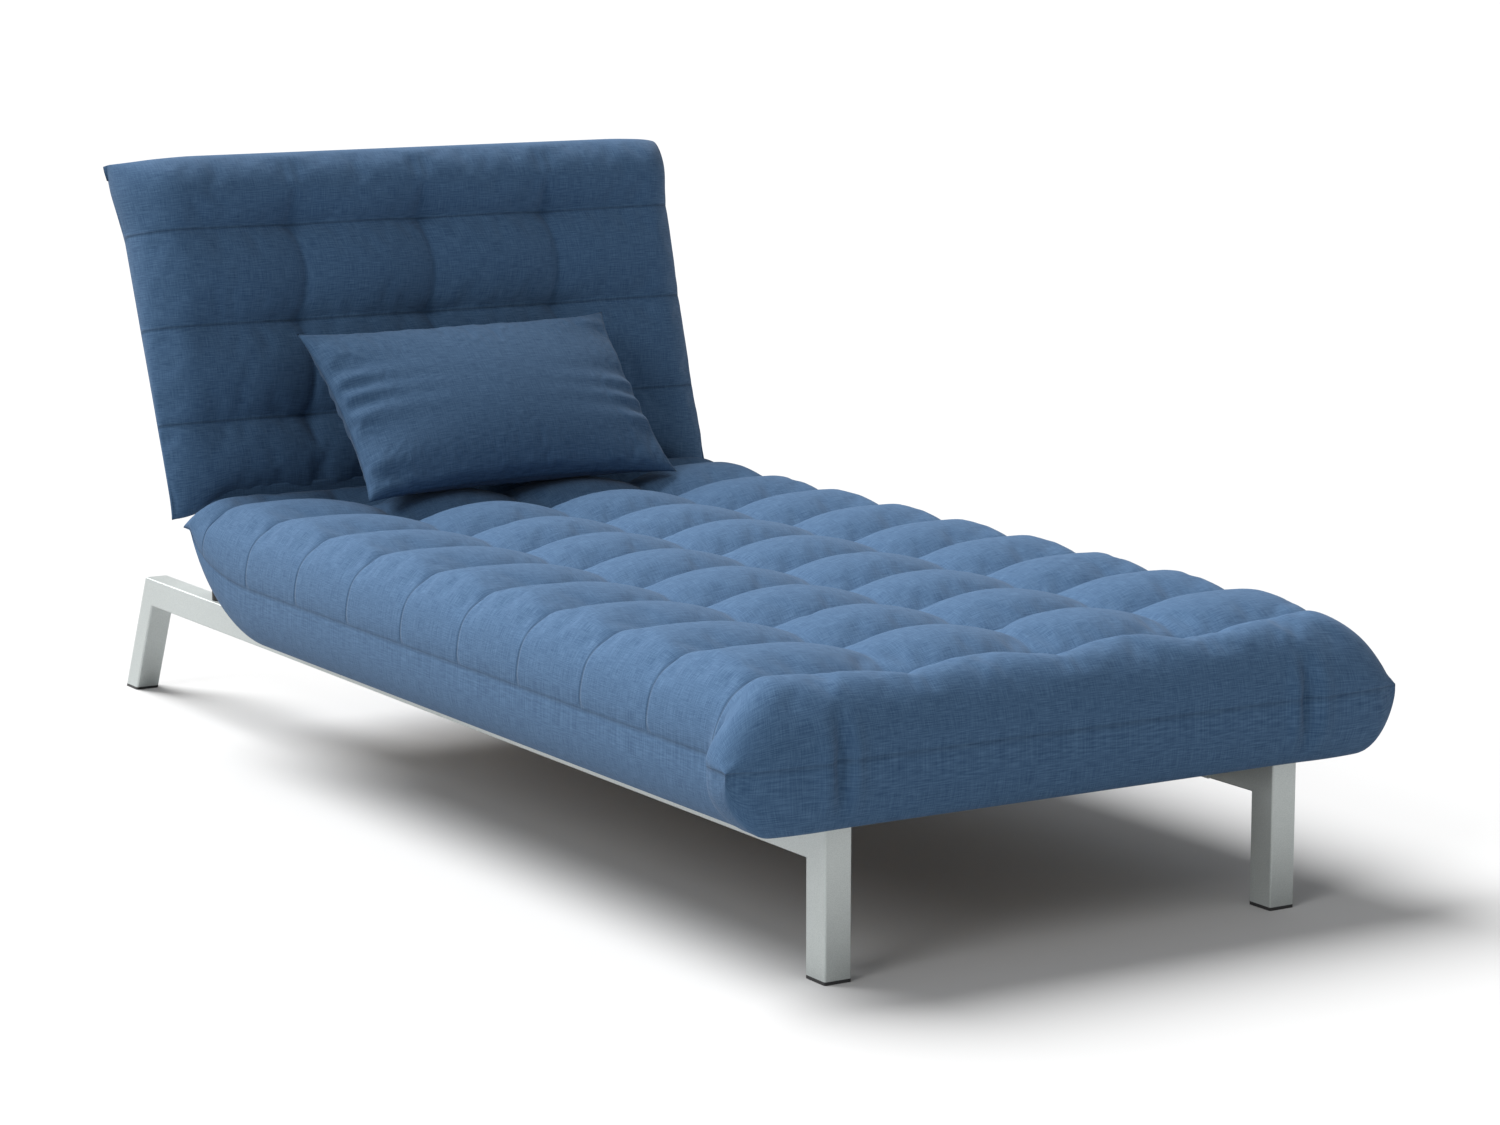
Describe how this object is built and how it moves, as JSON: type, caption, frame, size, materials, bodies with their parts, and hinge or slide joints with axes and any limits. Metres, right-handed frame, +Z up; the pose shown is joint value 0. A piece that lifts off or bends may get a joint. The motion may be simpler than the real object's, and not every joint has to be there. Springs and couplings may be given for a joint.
{
  "type": "futon sofa bed",
  "caption": "Single futon sofa bed on a slim steel base: deep tufted seat pad over slats, tufted backrest that ratchets from upright to flat, and a loose pillow.",
  "frame": {"origin": "on the floor, under the middle of the whole piece's footprint", "axes": "+Z up; +Y along the bed from the foot end to the head end, where the backrest is; +X to the right seen from the foot end"},
  "size_m": [0.932, 1.963, 0.807],
  "materials": {
    "silver_paint": "satin",
    "black_plastic": "matte",
    "slat_wood": "satin",
    "blue_cover": "matte",
    "pillow_cloth": "matte",
    "filling": "matte",
    "hinge_steel": "satin",
    "black_steel": "satin",
    "stop_rubber": "matte",
    "zinc_steel": "satin"
  },
  "bodies": {
    "base": {"rail_left": "silver_paint", "rail_right": "silver_paint", "front_leg_left": "silver_paint", "front_leg_right": "silver_paint", "rear_leg_left": "silver_paint", "rear_leg_right": "silver_paint", "front_foot_cap_left": "black_plastic", "front_foot_cap_right": "black_plastic", "rear_foot_cap_left": "black_plastic", "rear_foot_cap_right": "black_plastic", "seat_slat_holders_left": "black_plastic", "seat_slat_holders_right": "black_plastic", "hinge_plate_left": "hinge_steel", "hinge_plate_right": "hinge_steel", "hinge_pin_left": "zinc_steel", "hinge_pin_right": "zinc_steel", "flat_stop_left": "stop_rubber", "flat_stop_right": "stop_rubber", "front_cross_tube": "silver_paint", "middle_cross_tube": "silver_paint", "rear_cross_tube": "silver_paint", "cross_tube_flanges": "silver_paint", "frame_bolts": "black_steel", "frame_nuts": "zinc_steel", "seat_slat_1": "slat_wood", "seat_slat_2": "slat_wood", "seat_slat_3": "slat_wood", "seat_slat_4": "slat_wood", "seat_slat_5": "slat_wood", "seat_slat_6": "slat_wood", "seat_slat_7": "slat_wood", "seat_slat_8": "slat_wood", "seat_slat_9": "slat_wood", "seat_slat_10": "slat_wood", "seat_pad_cover": "blue_cover", "seat_pad_filling": "filling", "hinge_pin_nuts": "zinc_steel", "hinge_washers": "zinc_steel"},
    "backrest": {"back_tube_left": "silver_paint", "back_tube_right": "silver_paint", "back_cross_tube_lower": "silver_paint", "back_cross_tube_upper": "silver_paint", "back_tube_plugs": "black_plastic", "hinge_arm_left": "hinge_steel", "hinge_arm_right": "hinge_steel", "arm_bolts": "black_steel", "arm_nuts": "zinc_steel", "back_slat_1": "slat_wood", "back_slat_2": "slat_wood", "back_slat_3": "slat_wood", "back_slat_holders": "black_plastic", "back_pad_cover": "blue_cover", "back_pad_filling": "filling", "pawl_pins": "zinc_steel", "pawl_springs": "zinc_steel"},
    "left_pawl": {"pawl_left": "black_steel"},
    "right_pawl": {"pawl_right": "black_steel"},
    "pillow": {"pillow_cover": "pillow_cloth", "pillow_filling": "filling"}
  },
  "joints": [
    {"name": "back_recline", "type": "hinge", "parent": "base", "child": "backrest", "pos_m": [0, 0.57447, 0.328], "axis": [-1, 0, 0], "range_deg": [0, 80]},
    {"name": "pawl_left_lift", "type": "hinge", "parent": "backrest", "child": "left_pawl", "pos_m": [-0.29, 0.6066, 0.3663], "axis": [1, 0, 0], "range_deg": [0, 15], "stiffness_Nm_per_rad": 0.2, "springref_deg": -11.46},
    {"name": "pawl_right_lift", "type": "hinge", "parent": "backrest", "child": "right_pawl", "pos_m": [0.29, 0.6066, 0.3663], "axis": [1, 0, 0], "range_deg": [0, 15], "stiffness_Nm_per_rad": 0.2, "springref_deg": -11.46},
    {"name": "pillow_lift", "type": "slide", "parent": "base", "child": "pillow", "axis": [0, 0, 1], "range_m": [0, 0.25]}
  ]
}
